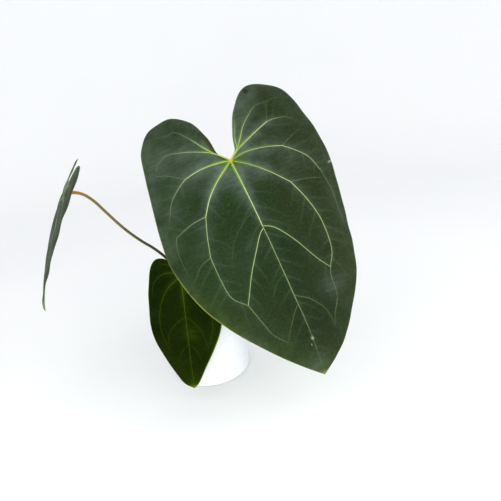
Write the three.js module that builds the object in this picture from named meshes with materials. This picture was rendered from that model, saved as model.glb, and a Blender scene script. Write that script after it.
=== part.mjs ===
// Potted anthurium hybrid: three heart-shaped leaves on a short stem, in a plain white pot.
// Millimetres, +Z up. The origin is the centre of the pot's flat underside, and the front is -Y.

import * as THREE from 'three';

// Pot
const potRadius = 70;
const potHeight = 130;
const potWall = 5;
const potFloor = 7;
const footRound = 5;
const rimRound = potWall / 2;
const potSides = 56;
const arcSteps = 2;

// Growing mix in the pot
const gap = 0.3;
const mixRadius = potRadius - potWall - gap;
const mixEdge = 110;
const mixRise = 4;
const mixSides = 40;

// Stem, which stands in the middle of the mix
const stemRadius = 10;
const stemHeight = 24;
const stemFoot = mixEdge + mixRise + gap;
const stemTop = stemFoot + stemHeight;

// Growth bud on the stem
const budRadius = 4.2;
const budTip = 0.4;
const budPath = [[0, 0, stemTop + gap], [1, 0, stemTop + 14], [4, 1, stemTop + 30]];

// Blade thickness, and how the flat leaf shape is bent, in parts of the blade's length
const bladeThickness = 1;
const foldRise = 0.014;
const foldWidth = 0.07;
const sideDroop = 0.2;
const lobeDroop = 0.25;

// How a blade's rings lie. Their places on the midrib crowd towards the junction by this power, and
// the rings round this share of the margin swing this far out, in parts of the blade's length.
const ringCrowding = 2.2;
const swingReach = 0.1;
const swingPlace = 0.12;
const swingWidth = 0.09;

// Petiole thickness, in parts of its radius and of its length: a flared foot and a swelling
const footFlare = 0.55;
const footLength = 0.08;
const swelling = 0.25;
const swellingPlace = 0.95;
const swellingWidth = 0.05;

// Where a petiole ends, in parts of the blade's length below the junction, and how far under the
// blade it turns towards it, in petiole radii
const petioleEnd = 0.015;
const petioleApproach = 2.2;

// Each leaf. The junction is where the petiole meets the blade. The blade hangs from it towards the
// azimuth, measured from -Y towards +X, and its lean from straight down goes from the first to the
// second value along the midrib, as its twist does. The margins go from the notch to the tip, as
// distance across the midrib and distance down it. The petiole's path starts at the stem. The
// blade's grid is how many rings it has, and how many steps go round one.
const leaves = [
  {
    name: 'big',
    length: 363,
    junction: [88, -30, 387],
    azimuth: 30,
    lean: [39, 26],
    twist: [20, 11],
    left: [
      [0, 0], [-14, -18], [-18, -55], [-32, -91], [-62, -112], [-98, -105], [-123, -76], [-135, -28],
      [-144, 22], [-152, 76], [-154, 128], [-139, 192], [-111, 245], [-76, 290], [-36, 332], [0, 363],
    ],
    right: [
      [0, 0], [13, -13], [21, -38], [42, -80], [75, -113], [108, -110], [136, -86], [147, -37],
      [153, 18], [150, 68], [139, 121], [128, 178], [113, 234], [82, 284], [46, 328], [0, 363],
    ],
    petiole: [
      [10.5, -1, 117], [16.5, -1, 121.5], [20, 1, 140], [27, 5, 178], [40, 9, 228],
      [58, 8, 283], [74, 2, 332], [84, -9, 366],
    ],
    petioleRadius: 4,
    bladeGrid: [40, 24],
  },
  {
    name: 'small',
    length: 198,
    junction: [-18, -68, 221],
    azimuth: -10,
    lean: [14, 9],
    twist: [0, 0],
    left: [
      [0, 0], [-7, -9], [-13, -20], [-27, -28], [-42, -26], [-52, -10], [-58, 22],
      [-62, 62], [-61, 95], [-50, 128], [-34, 158], [-17, 186], [0, 198],
    ],
    right: [
      [0, 0], [6, -8], [13, -20], [27, -29], [42, -26], [53, -8], [60, 24],
      [63, 60], [57, 97], [43, 129], [26, 159], [11, 186], [0, 198],
    ],
    petiole: [
      [-1.5, -10.5, 117], [-2.5, -14.6, 119.5], [-4.5, -20, 137], [-8, -34, 180],
      [-13, -49, 210], [-17, -60, 221],
    ],
    petioleRadius: 2.3,
    bladeGrid: [28, 16],
  },
  {
    name: 'left',
    length: 212,
    junction: [-198, 12, 357],
    azimuth: -75,
    lean: [32, 12],
    twist: [0, 0],
    left: [
      [0, 0], [-8, -8], [-13, -24], [-26, -46], [-46, -60], [-66, -57], [-80, -42], [-87, -14],
      [-89, 16], [-86, 46], [-80, 76], [-72, 108], [-60, 140], [-42, 170], [-22, 194], [0, 212],
    ],
    right: [
      [0, 0], [7, -9], [11, -28], [20, -50], [38, -63], [58, -60], [74, -44], [82, -16],
      [86, 14], [87, 44], [85, 76], [76, 110], [60, 143], [41, 172], [20, 196], [0, 212],
    ],
    petiole: [
      [-10.5, 1, 119], [-14.8, 1.5, 121.5], [-20, 2.5, 140], [-29, 3, 184], [-43, 4, 218],
      [-64, 5, 244], [-84, 6, 261.5], [-103, 7, 280.5], [-120, 8, 301], [-136, 9, 323],
      [-151, 10, 343], [-165, 11, 355.5], [-180, 12, 361], [-192, 13, 360],
    ],
    petioleRadius: 2.4,
    bladeGrid: [28, 16],
  },
];

// Papery sheaths that stand round the stem: middle angle and height
const sheaths = [{ angle: 73, height: 46 }, { angle: 131, height: 34 }];
const sheathSpread = 27;
const sheathRadius = stemRadius + 2.2;
const sheathThickness = 1;
const sheathLean = 3;
const sheathWidest = 0.6;

// Roots that leave the stem above the mix, each as a path
const rootRadius = 2.1;
const roots = [
  [[7.4, -7.4, 125], [19, -18, 128], [32, -27, 123], [39, -33, 112]],
  [[-7.4, -7.4, 122], [-19, -17, 125], [-31, -22, 121], [-38, -25, 112.5]],
  [[9.3, 4.6, 123], [23, 9, 126], [36, 9, 122], [45, 7, 112.6]],
];

const glaze = new THREE.MeshStandardMaterial({ color: 0xf1f1f0, roughness: 0.3, metalness: 0 });
const bark = new THREE.MeshStandardMaterial({ color: 0x4a3324, roughness: 0.95, metalness: 0 });
const stemSkin = new THREE.MeshStandardMaterial({ color: 0x5d6a3c, roughness: 0.7, metalness: 0 });
const petioleSkin = new THREE.MeshStandardMaterial({ color: 0x55592f, roughness: 0.5, metalness: 0 });
const bladeSkin = new THREE.MeshStandardMaterial({ color: 0x2f4a2f, roughness: 0.45, metalness: 0 });
const paperSkin = new THREE.MeshStandardMaterial({ color: 0x8a6a42, roughness: 0.9, metalness: 0 });
const rootSkin = new THREE.MeshStandardMaterial({ color: 0xa9a98c, roughness: 0.85, metalness: 0 });

const { degToRad, lerp } = THREE.MathUtils;
const potPlant = new THREE.Group();

function add(name, geometry, material) {
  geometry.computeVertexNormals();
  const mesh = new THREE.Mesh(geometry, material);
  mesh.name = name;
  potPlant.add(mesh);
}

// Closed skin over rings. point(u, v) runs along the body with u and once round it with v,
// by the right hand about the way that u runs, and both ends close to one point.
function skin(point, along, around) {
  const corners = [point(0, 0)];
  const faces = [];
  const at = (ring, step) => 1 + (ring - 1) * around + (step % around);
  for (let ring = 1; ring < along; ring++) {
    for (let step = 0; step < around; step++) corners.push(point(ring / along, step / around));
  }
  corners.push(point(1, 0));
  const last = corners.length - 1;
  for (let step = 0; step < around; step++) {
    faces.push(0, at(1, step + 1), at(1, step));
    faces.push(last, at(along - 1, step), at(along - 1, step + 1));
    for (let ring = 1; ring < along - 1; ring++) {
      faces.push(at(ring, step), at(ring, step + 1), at(ring + 1, step + 1));
      faces.push(at(ring, step), at(ring + 1, step + 1), at(ring + 1, step));
    }
  }
  const geometry = new THREE.BufferGeometry().setFromPoints(corners);
  geometry.setIndex(faces);
  return geometry;
}

// Round limb along a path. radius(u) is its radius, and both ends are rounded off.
function limb(path, radius, along, around) {
  const places = path.map((p) => new THREE.Vector3(...p));
  const curve = new THREE.CatmullRomCurve3(places, false, 'centripetal');
  const frames = curve.computeFrenetFrames(along, false);
  return skin((u, v) => {
    const i = Math.round(u * along);
    const turn = 2 * Math.PI * v;
    const endRound = Math.sqrt(Math.max(0, 1 - (2 * u - 1) ** (2 * along)));
    const r = radius(u) * endRound;
    return curve.getPointAt(u)
      .addScaledVector(frames.normals[i], r * Math.cos(turn))
      .addScaledVector(frames.binormals[i], r * Math.sin(turn));
  }, along, around);
}

// The midrib's place and the blade's three directions at a distance down from the junction:
// down the midrib, across it, and out of the upper face. The lean changes evenly, so the midrib
// is an arc, and above the junction it is straight.
function bladeFrame(leaf, down) {
  const azimuth = degToRad(leaf.azimuth);
  const share = THREE.MathUtils.clamp(down / leaf.length, 0, 1);
  const [lean0, lean1] = leaf.lean.map(degToRad);
  const lean = lerp(lean0, lean1, share);
  const twist = degToRad(lerp(...leaf.twist, share));
  const rate = (lean1 - lean0) / leaf.length;
  const straight = down < 0;
  const out = straight ? down * Math.sin(lean0) : (Math.cos(lean0) - Math.cos(lean)) / rate;
  const fall = straight ? down * Math.cos(lean0) : (Math.sin(lean) - Math.sin(lean0)) / rate;
  const away = new THREE.Vector3(Math.sin(azimuth), -Math.cos(azimuth), 0);
  const side = new THREE.Vector3(Math.cos(azimuth), Math.sin(azimuth), 0);
  const face = away.clone().multiplyScalar(Math.cos(lean)).setZ(Math.sin(lean));
  const along = away.clone().multiplyScalar(Math.sin(lean)).setZ(-Math.cos(lean));
  const junction = new THREE.Vector3(...leaf.junction);
  return {
    place: junction.addScaledVector(away, out).add(new THREE.Vector3(0, 0, -fall)),
    across: side.clone().applyAxisAngle(along, twist),
    up: face.clone().applyAxisAngle(along, twist),
  };
}

// How far the upper face stands out of the flat leaf: a fold at the midrib, and sides and lobes
// that droop.
function bladeRise(leaf, across, down) {
  const fold = foldRise * leaf.length * (1 - Math.exp(-Math.abs(across) / (foldWidth * leaf.length)));
  const droop = (sideDroop * across ** 2) / leaf.length;
  const lobes = (lobeDroop * Math.min(down, 0) ** 2) / leaf.length;
  return fold - droop - lobes;
}

// A hump of height 1 at a place, that many widths wide.
function hump(u, place, width) {
  return Math.exp(-(((u - place) / width) ** 2));
}

// One blade. Each ring runs from a point of the midrib to both margins, over the top and under it.
// Rings near the notch swing out into the lobes.
function blade(leaf, along, around) {
  const outline = (points) => new THREE.SplineCurve(points.map((p) => new THREE.Vector2(...p)));
  const margins = { left: outline(leaf.left), right: outline(leaf.right) };
  const lobeSwing = (u) => swingReach * leaf.length * hump(u, swingPlace, swingWidth);
  return skin((u, v) => {
    const reach = Math.cos(2 * Math.PI * v);
    const overTop = Math.sin(2 * Math.PI * v);
    const margin = margins[reach < 0 ? 'left' : 'right'].getPointAt(u);
    const share = Math.abs(reach);
    const swing = 2 * share * (1 - share) * lobeSwing(u) * Math.sign(reach);
    const across = margin.x * share + swing;
    const down = lerp(leaf.length * u ** ringCrowding, margin.y, share);
    const half = (bladeThickness / 2) * Math.sign(overTop) * Math.sqrt(Math.abs(overTop));
    const frame = bladeFrame(leaf, down);
    return frame.place
      .addScaledVector(frame.across, across)
      .addScaledVector(frame.up, bladeRise(leaf, across, down) + half);
  }, along, around);
}

// The petiole is thickest at its foot, slender in the middle and swollen just before the blade.
// It ends just under the blade's lower face, a little below the notch.
function petiole(leaf, along, around) {
  const frame = bladeFrame(leaf, petioleEnd * leaf.length);
  const under = (distance) => frame.place.clone().addScaledVector(frame.up, -distance).toArray();
  const end = under(bladeThickness / 2 + gap);
  const approach = under(petioleApproach * leaf.petioleRadius);
  const foot = (u) => footFlare * Math.exp(-u / footLength);
  const swollen = (u) => swelling * hump(u, swellingPlace, swellingWidth);
  const radius = (u) => leaf.petioleRadius * (1 + foot(u) + swollen(u));
  return limb([...leaf.petiole, approach, end], radius, along, around);
}

// Pot wall and floor in one turned profile, from the underside's centre round to the inside's.
function pot() {
  const profile = new THREE.Path();
  const innerRadius = potRadius - potWall;
  profile.moveTo(0, 0);
  profile.lineTo(potRadius - footRound, 0);
  profile.absarc(potRadius - footRound, footRound, footRound, -Math.PI / 2, 0, false);
  profile.absarc(potRadius - rimRound, potHeight - rimRound, rimRound, 0, Math.PI, false);
  profile.absarc(innerRadius - footRound, potFloor + footRound, footRound, 0, -Math.PI / 2, true);
  profile.lineTo(0, potFloor);
  return new THREE.LatheGeometry(profile.getPoints(arcSteps), potSides);
}

// The mix fills the pot from above the round of its floor, and its top is a low mound.
function mix() {
  const foot = potFloor + footRound + gap;
  const profile = [[0, foot], [mixRadius, foot], [mixRadius, mixEdge]];
  for (const share of [0.75, 0.5, 0.25, 0]) {
    profile.push([mixRadius * share, mixEdge + mixRise * (1 - share ** 2)]);
  }
  return new THREE.LatheGeometry(profile.map((p) => new THREE.Vector2(...p)), mixSides);
}

// Turned shapes are made round Y, so they are stood up.
function upright(geometry) {
  return geometry.rotateX(Math.PI / 2);
}

// A sheath is a curved sheet round the stem, widest low down and pointed at the top, where it
// leans away from the stem.
function sheath({ angle, height }, along, around) {
  return skin((u, v) => {
    const reach = Math.cos(2 * Math.PI * v);
    const half = (sheathThickness / 2) * Math.sin(2 * Math.PI * v);
    const spread = sheathSpread * Math.sqrt(Math.sin(Math.PI * u ** sheathWidest));
    const turn = degToRad(angle - reach * spread);
    const radius = sheathRadius + sheathLean * u ** 2 + half;
    const rise = stemFoot + height * u;
    return new THREE.Vector3(radius * Math.cos(turn), radius * Math.sin(turn), rise);
  }, along, around);
}

add('pot', upright(pot()), glaze);
add('growing_mix', upright(mix()), bark);
add('stem', limb([[0, 0, stemFoot], [0, 0, stemTop]], () => stemRadius, 10, 20), stemSkin);
add('growth_bud', limb(budPath, (u) => budRadius * (1 - u ** 2) + budTip, 10, 10), stemSkin);

for (const leaf of leaves) {
  const [along, around] = leaf.bladeGrid;
  add(`${leaf.name}_petiole`, petiole(leaf, 30, 10), petioleSkin);
  add(`${leaf.name}_blade`, blade(leaf, along, around), bladeSkin);
}

sheaths.forEach((spec, i) => add(`sheath_${i + 1}`, sheath(spec, 10, 12), paperSkin));
roots.forEach((path, i) => add(`root_${i + 1}`, limb(path, () => rootRadius, 12, 8), rootSkin));

export default potPlant;
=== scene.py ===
"""Potted anthurium hybrid: the looks of three heart-shaped leaves on a short stem in a white pot.

Sizes are in millimetres until a mesh is made, and then in metres. +Z is up and the front is -Y.
"""

import math

import bpy
import numpy as np
from mathutils import Matrix, Vector


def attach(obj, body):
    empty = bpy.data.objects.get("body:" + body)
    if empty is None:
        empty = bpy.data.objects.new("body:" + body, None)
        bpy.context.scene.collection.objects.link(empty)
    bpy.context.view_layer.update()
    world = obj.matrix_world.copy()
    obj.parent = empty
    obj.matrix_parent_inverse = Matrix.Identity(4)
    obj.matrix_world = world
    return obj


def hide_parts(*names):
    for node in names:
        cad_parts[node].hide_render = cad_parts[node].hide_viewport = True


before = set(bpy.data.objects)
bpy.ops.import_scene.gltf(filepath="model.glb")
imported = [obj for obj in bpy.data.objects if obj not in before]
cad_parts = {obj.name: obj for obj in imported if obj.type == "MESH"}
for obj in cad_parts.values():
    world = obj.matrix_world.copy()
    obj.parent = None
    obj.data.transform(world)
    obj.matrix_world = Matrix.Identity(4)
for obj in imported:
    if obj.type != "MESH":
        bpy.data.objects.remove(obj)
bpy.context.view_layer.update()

MM = 0.001
UP = np.array([0.0, 0.0, 1.0])
BACK = np.array([0.0, 1.0, 0.0])

# Camera: its place, how far it is pitched down and rolled in degrees, its lens and its sensor
CAMERA_PLACE = (99.9, -901.6, 561.0)
CAMERA_PITCH = 20.73
CAMERA_ROLL = 7.77
CAMERA_LENS = 39.61
SENSOR_WIDTH = 36

# Where the lamps aim
PLANT_MIDDLE = (30, -20, 260)

# Pot and growing mix
POT_RADIUS = 70
POT_HEIGHT = 130
POT_WALL = 5
POT_FLOOR = 7
FOOT_ROUND = 5
RIM_ROUND = POT_WALL / 2
MIX_RADIUS = POT_RADIUS - POT_WALL - 0.3
MIX_FOOT = POT_FLOOR + FOOT_ROUND + 0.3
MIX_EDGE = 110
MIX_RISE = 4

# Stem
STEM_RADIUS = 10
STEM_FOOT = 114.3
STEM_TOP = 138.3
SCAR_HEIGHTS = (5.0, 11.5, 17.0)

# Length of the big leaf, by which the reach of what its veins and margin do is scaled on the others
BIG_LENGTH = 363
BLADE_THICKNESS = 0.8

# How a flat leaf shape is bent, in parts of the blade's length
FOLD_RISE = 0.014
FOLD_WIDTH = 0.07
SIDE_DROOP = 0.2
LOBE_DROOP = 0.25

# How high a blade puffs up between its veins, how far from a vein that takes, and its wave by the margin
QUILT_RISE = 3.0
QUILT_WIDTH = 13.0
WAVE_HEIGHT = 1.3
WAVE_LENGTH = 52

# Looks by a vein: how far from it they lie, how wide they are, and how far from the junction they reach
# Yellow-olive paint by a vein, shifted to its side away from the midrib, where it is painted shade
HALO_SHIFT, HALO_REACH = 0.9, 58
# Painted sheen beside the main veins near the junction
BAND_WIDTH, BAND_START, BAND_REACH = 10, 13, 76
# Painted shadow: a thin dark line along each side of a vein near the junction
GUTTER_PLACE, GUTTER_WIDTH, GUTTER_REACH = 4.0, 1.3, 52
GROOVE_REACH = 14

# Least prominence of a vein that sends out fine veins, and theirs
MAIN_PROMINENCE = 0.45
FINE_PROMINENCE = 0.07


def scaled(veins, down_scale, across_scale):
    """The veins with their courses scaled down and across the blade. A negative scale mirrors them."""
    return [
        (start, end, [(down_scale * down, across_scale * across) for down, across in course])
        for start, end, course in veins
    ]


def paired(veins):
    """Each vein, and after it its mirror image across the midrib."""
    return [vein for one in veins for vein in (one, *scaled([one], 1, -1))]


# Veins of the big leaf, each from one fork to the next: prominence where it starts and where it
# ends, and its course as distance down the midrib and distance across it, positive to the right
BIG_VEINS = [
    (1.2, 1.0, [(0, 0), (60, 0), (119, 0)]),
    (0.6, 0.46, [(119, 0), (180, 0), (236, 1)]),
    (0.46, 0.12, [(236, 1), (300, 2), (354, 0)]),
    (0.8, 0.2, [(0, 0), (-13, 17), (-30, 22), (-59, 35)]),
    (0.75, 0.4, [(0, 0), (-17, 21), (-45, 43), (-67, 68)]),
    (0.35, 0.15, [(-67, 68), (-73, 81), (-72, 98)]),
    (0.25, 0.1, [(-72, 98), (-74, 110), (-71, 127)]),
    (0.2, 0.15, [(-38, 83), (-72, 98)]),
    (0.8, 0.85, [(0, 0), (-13, 21), (-23, 45), (-38, 83)]),
    (0.55, 0.2, [(-38, 83), (-38, 94), (-33, 115), (-26, 123)]),
    (0.45, 0.65, [(0, 0), (-2, 26), (3, 59), (11, 86)]),
    (0.64, 0.46, [(11, 86), (20, 96), (43, 117), (70, 126)]),
    (0.3, 0.15, [(70, 126), (104, 128), (138, 125), (173, 123)]),
    (0.25, 0.1, [(11, 86), (3, 105), (-6, 128)]),
    (0.42, 0.7, [(0, 0), (15, 18), (38, 42), (71, 71)]),
    (0.7, 0.45, [(71, 71), (110, 84), (145, 90), (194, 85), (217, 72)]),
    (0.3, 0.15, [(71, 71), (76, 98), (83, 124)]),
    (0.62, 0.46, [(119, 1), (126, 13), (151, 32), (200, 59), (217, 72)]),
    (0.35, 0.2, [(217, 72), (228, 67), (252, 65), (265, 62)]),
    (0.3, 0.15, [(265, 62), (288, 47), (302, 41)]),
    (0.3, 0.15, [(236, 1), (251, 22), (276, 39), (302, 41)]),
    (0.9, 0.5, [(0, 0), (-12, -10), (-28, -25), (-59, -43)]),
    (0.35, 0.1, [(-59, -43), (-83, -62), (-82, -75), (-88, -95)]),
    (0.7, 0.35, [(-12, -10), (-25, -26), (-39, -53), (-49, -80)]),
    (0.35, 0.15, [(-49, -80), (-50, -92), (-40, -109), (-25, -117)]),
    (0.25, 0.2, [(-25, -117), (-17, -101), (0, -79)]),
    (1.0, 0.65, [(0, 0), (-3, -21), (-4, -52), (0, -79)]),
    (0.55, 0.2, [(0, -79), (12, -97), (27, -113), (58, -130)]),
    (1.0, 0.9, [(0, 0), (5, -7), (26, -36), (46, -57), (71, -75)]),
    (0.6, 0.5, [(71, -75), (103, -86), (134, -94)]),
    (0.48, 0.38, [(134, -94), (170, -94), (205, -89), (224, -71)]),
    (0.5, 0.3, [(71, -75), (74, -99), (84, -129)]),
    (0.3, 0.1, [(84, -129), (95, -133), (111, -136), (151, -135)]),
    (0.3, 0.1, [(134, -94), (142, -113), (165, -134)]),
    (0.66, 0.52, [(122, 0), (129, -9), (150, -25), (183, -48), (224, -71)]),
    (0.4, 0.2, [(224, -71), (254, -62), (279, -53), (298, -36)]),
    (0.25, 0.15, [(251, 0), (263, -12), (290, -32), (298, -36)]),
    (0.15, 0.1, [(90, 0), (102, -23), (123, -49), (154, -68)]),
    (0.15, 0.1, [(199, 0), (213, -21), (226, -30)]),
]
SMALL_VEINS = [
    (0.9, 0.6, [(0, 0), (35, 0), (72, 0)]),
    (0.6, 0.3, [(72, 0), (130, 0), (190, 0)]),
    *paired([
        (0.4, 0.15, [(0, 0), (-3, -13), (-3, -27), (1, -36), (14, -48), (32, -52)]),
        (0.5, 0.2, [(0, 0), (9, -8), (19, -21), (41, -36), (72, -44), (98, -43), (126, -33)]),
    ]),
    (0.35, 0.15, [(72, 0), (80, -14), (100, -31), (126, -33)]),
    (0.35, 0.15, [(72, 0), (80, 12), (95, 24), (126, 33)]),
    *paired([
        (0.2, 0.1, [(0, 0), (-8, -10), (-17, -20), (-18, -34)]),
        (0.2, 0.1, [(118, 0), (130, -12), (150, -20)]),
    ]),
]

# Each leaf: where its petiole joins, the direction in which it hangs, its lean from straight down at the
# junction and at the tip, and its twist, in degrees. Its margins run from the notch to the tip, as
# distance across and distance down, and its petiole from the stem. edge is how strongly painted sheen
# pales it by its margin, and lit_rim where its rim has a painted highlight: side, place along it and
# spread. Each mark has its distance down, distance across, radius and strength: pale and dark marks are
# spots, scratches and nicks, sheen patches are painted sheen and shade patches painted shade. rings and
# columns set how fine its surface is.
LEAVES = {
    "big": {
        "length": BIG_LENGTH,
        "junction": (88, -30, 387),
        "azimuth": 30,
        "lean": (39, 26),
        "twist": (20, 11),
        "left": [
            (0, 0), (-14, -18), (-18, -55), (-32, -91), (-62, -112), (-98, -105), (-123, -76), (-135, -28),
            (-144, 22), (-152, 76), (-154, 128), (-139, 192), (-111, 245), (-76, 290), (-36, 332), (0, 363),
        ],
        "right": [
            (0, 0), (13, -13), (21, -38), (42, -80), (75, -113), (108, -110), (136, -86), (147, -37),
            (153, 18), (150, 68), (139, 121), (128, 178), (113, 234), (82, 284), (46, 328), (0, 363),
        ],
        "petiole": [
            (10.5, -1, 117), (16.5, -1, 121.5), (20, 1, 140), (27, 5, 178), (40, 9, 228),
            (58, 8, 283), (74, 2, 332), (84, -9, 366),
        ],
        "petiole_radius": 4,
        "veins": BIG_VEINS,
        "edge": 0.73,
        "lit_rim": (-1, 0.69, 0.09),
        "rings": 330,
        "columns": (176, 56),
        "marks": {
            "pale_mark": [
                (305.4, 1.7, 1.6, 0.8), (313.7, -3.5, 1.0, 0.5), (62.9, 145.6, 1.1, 0.8),
                (62.7, 147.8, 0.9, 0.4), (62.6, 149.6, 1.1, 0.8),
            ],
            "dark_mark": [(-104.5, 76.0, 4.2, 1.7), (173.5, -141.5, 3.2, 0.75)],
            # Painted sheen: lighter greyish patches where the blade catches the light
            "bloom_patch": [
                (-100, 40, 34, 0.42), (0, -6, 40, 0.24), (-14, -60, 46, 0.22), (-98, 78, 14, 0.3),
                (-46, -98, 30, 0.28), (-72, -72, 18, 0.2), (-30, -60, 24, 0.22), (34, -18, 16, 0.3),
                (46, -114, 16, 0.16), (122, -102, 22, 0.08), (90, -84, 14, 0.14), (150, -62, 26, 0.06),
                (244, 60, 16, 0.32), (243, 76, 13, 0.18), (34, 30, 16, 0.3), (10, 54, 15, 0.22),
                (35, 88, 22, 0.16), (-22, 92, 16, 0.12), (58, -8, 14, 0.18), (350, -10, 20, 0.26),
                (286, -100, 30, 0.12), (-38, -66, 22, 0.3), (142, -30, 14, 0.14),
            ],
            # Painted shade: darker patches where the blade lies in shade
            "shade_patch": [
                (276, 20, 50, 0.7), (172, 20, 34, 0.6), (150, -14, 46, 0.35), (202, -42, 22, 0.45),
                (226, 6, 40, 0.5), (70, 15, 13, 0.35), (44, -72, 14, 0.35), (-62, -31, 13, 0.5),
                (142, -148, 30, 0.55), (214, -128, 14, 0.5), (46, -138, 13, 0.5), (190, 78, 14, 0.45),
                (178, -30, 14, 0.4), (274, -66, 34, 0.25), (-84, -58, 16, 0.5), (62, -78, 20, 0.25),
                (-92, 128, 24, 0.45),
            ],
        },
    },
    "small": {
        "length": 198,
        "junction": (-18, -68, 221),
        "azimuth": -10,
        "lean": (14, 9),
        "twist": (0, 0),
        "left": [
            (0, 0), (-7, -9), (-13, -20), (-27, -28), (-42, -26), (-52, -10), (-58, 22),
            (-62, 62), (-61, 95), (-50, 128), (-34, 158), (-17, 186), (0, 198),
        ],
        "right": [
            (0, 0), (6, -8), (13, -20), (27, -29), (42, -26), (53, -8), (60, 24),
            (63, 60), (57, 97), (43, 129), (26, 159), (11, 186), (0, 198),
        ],
        "petiole": [
            (-1.5, -10.5, 117), (-2.5, -14.6, 119.5), (-4.5, -20, 137),
            (-8, -34, 180), (-13, -49, 210), (-17, -60, 221),
        ],
        "petiole_radius": 2.3,
        "veins": SMALL_VEINS,
        "edge": 0.35,
        "lit_rim": (1, 0.8, 0.2),
        "marks": {
            # Painted shade: darker patches where the blade lies in shade
            "shade_patch": [
                (40, -53, 17, 0.6), (90, -52, 20, 0.7), (130, -4, 18, 0.4), (150, 20, 16, 0.4),
                (12, -40, 24, 0.65), (74, 34, 18, 0.4),
            ],
            # Painted sheen patches, the second one a painted light on the tip
            "bloom_patch": [(100, 6, 12, 0.3), (196, 0, 11, 0.7)],
        },
        "rings": 200,
        "columns": (96, 36),
    },
    "left": {
        "length": 212,
        "junction": (-198, 12, 357),
        "azimuth": -75,
        "lean": (32, 12),
        "twist": (0, 0),
        "left": [
            (0, 0), (-8, -8), (-13, -24), (-26, -46), (-46, -60), (-66, -57), (-80, -42), (-87, -14),
            (-89, 16), (-86, 46), (-80, 76), (-72, 108), (-60, 140), (-42, 170), (-22, 194), (0, 212),
        ],
        "right": [
            (0, 0), (7, -9), (11, -28), (20, -50), (38, -63), (58, -60), (74, -44), (82, -16),
            (86, 14), (87, 44), (85, 76), (76, 110), (60, 143), (41, 172), (20, 196), (0, 212),
        ],
        "petiole": [
            (-10.5, 1, 119), (-14.8, 1.5, 121.5), (-20, 2.5, 140), (-29, 3, 184), (-43, 4, 218),
            (-64, 5, 244), (-84, 6, 261.5), (-103, 7, 280.5), (-120, 8, 301), (-136, 9, 323),
            (-151, 10, 343), (-165, 11, 355.5), (-180, 12, 361), (-192, 13, 360),
        ],
        "petiole_radius": 2.4,
        "veins": scaled(BIG_VEINS, 0.575, -0.565),
        "edge": 0.8,
        "lit_rim": (-1, 0.69, 0.09),
        "marks": {},
        "rings": 200,
        "columns": (104, 36),
    },
}

# Pale and dark marks are spots, scratches and nicks; the patches are painted sheen and painted shade
MARK_KINDS = ("pale_mark", "dark_mark", "bloom_patch", "shade_patch")

# Paints of each blade, in hex. deep and satin lie between the veins, satin partly as painted sheen low
# down and to the right, with fresh and shade as their grain. By the margin lies fresh green going over to a
# greyish painted sheen, and a lighter painted sheen lies on the sheen patches and beside the main veins.
# wedge is right under the junction, line on the finest veins, a yellow-olive paint right by a vein that is
# painted shade on its outer side, and rim at the edge. Its veins go from faint over dusty to bright, and to
# lime near the junction. veinlets is the spacing of its fine veins.
BROAD_LOOK = {
    "deep": "0e2907", "satin": "1b2109", "fresh": "324617", "margin_sheen": "444f40", "shade": "071704",
    "sheen_paint": "6a776f", "wedge": "2c5814", "line": "4c6040", "halo": "6a8e12", "rim": "8a9440",
    "faint": "1c3013", "dusty": "a3b39c", "bright": "b0c288", "lime": "94ad38",
    "veinlets": 24.0, "specular": 0.07, "vein_specular": 0.2,
}
LOOKS = {
    "big": BROAD_LOOK,
    "left": BROAD_LOOK,
    "small": {
        "deep": "0b1602", "satin": "192304", "fresh": "203404", "margin_sheen": "192805", "shade": "070f02",
        "sheen_paint": "3a5208", "wedge": "2a440a", "line": "20320a", "halo": "263c0c", "rim": "7c8a1a",
        "faint": "1c2e04", "dusty": "4a640c", "bright": "4a640c", "lime": "4a640c",
        "veinlets": 60.0, "specular": 0.005, "vein_specular": 0.02,
    },
}
UNDER_VEIN_PAINTS = ("64814e", "9db47c", "9db47c", "a8b977")

SHEATHS = [{"angle": 73, "height": 46}, {"angle": 131, "height": 34}]
SHEATH_SPREAD = 27
SHEATH_RADIUS = STEM_RADIUS + 2.2
SHEATH_THICKNESS = 0.6

ROOT_RADIUS = 2.1
ROOTS = [
    [(7.4, -7.4, 125), (19, -18, 128), (32, -27, 123), (39, -33, 112)],
    [(-7.4, -7.4, 122), (-19, -17, 125), (-31, -22, 121), (-38, -25, 112.5)],
    [(9.3, 4.6, 123), (23, 9, 126), (36, 9, 122), (45, 7, 112.6)],
]


# Curves, fields and meshes

def unit(vectors):
    """Vectors divided by their lengths."""
    return vectors / np.linalg.norm(vectors, axis=-1, keepdims=True)


def turns(count):
    """Angles evenly spaced round a whole turn."""
    return np.linspace(0, 2 * math.pi, count, endpoint=False)


def bell(distance, width, power=2):
    """1 where the distance is 0, and dying away as exp(-(distance / width)^power)."""
    return np.exp(-((distance / width) ** power))


def ramp(value, start, run):
    """0 at the start, rising evenly to 1 a run further on, and held past both. The run may be negative."""
    return np.clip((value - start) / run, 0, 1)


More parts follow.
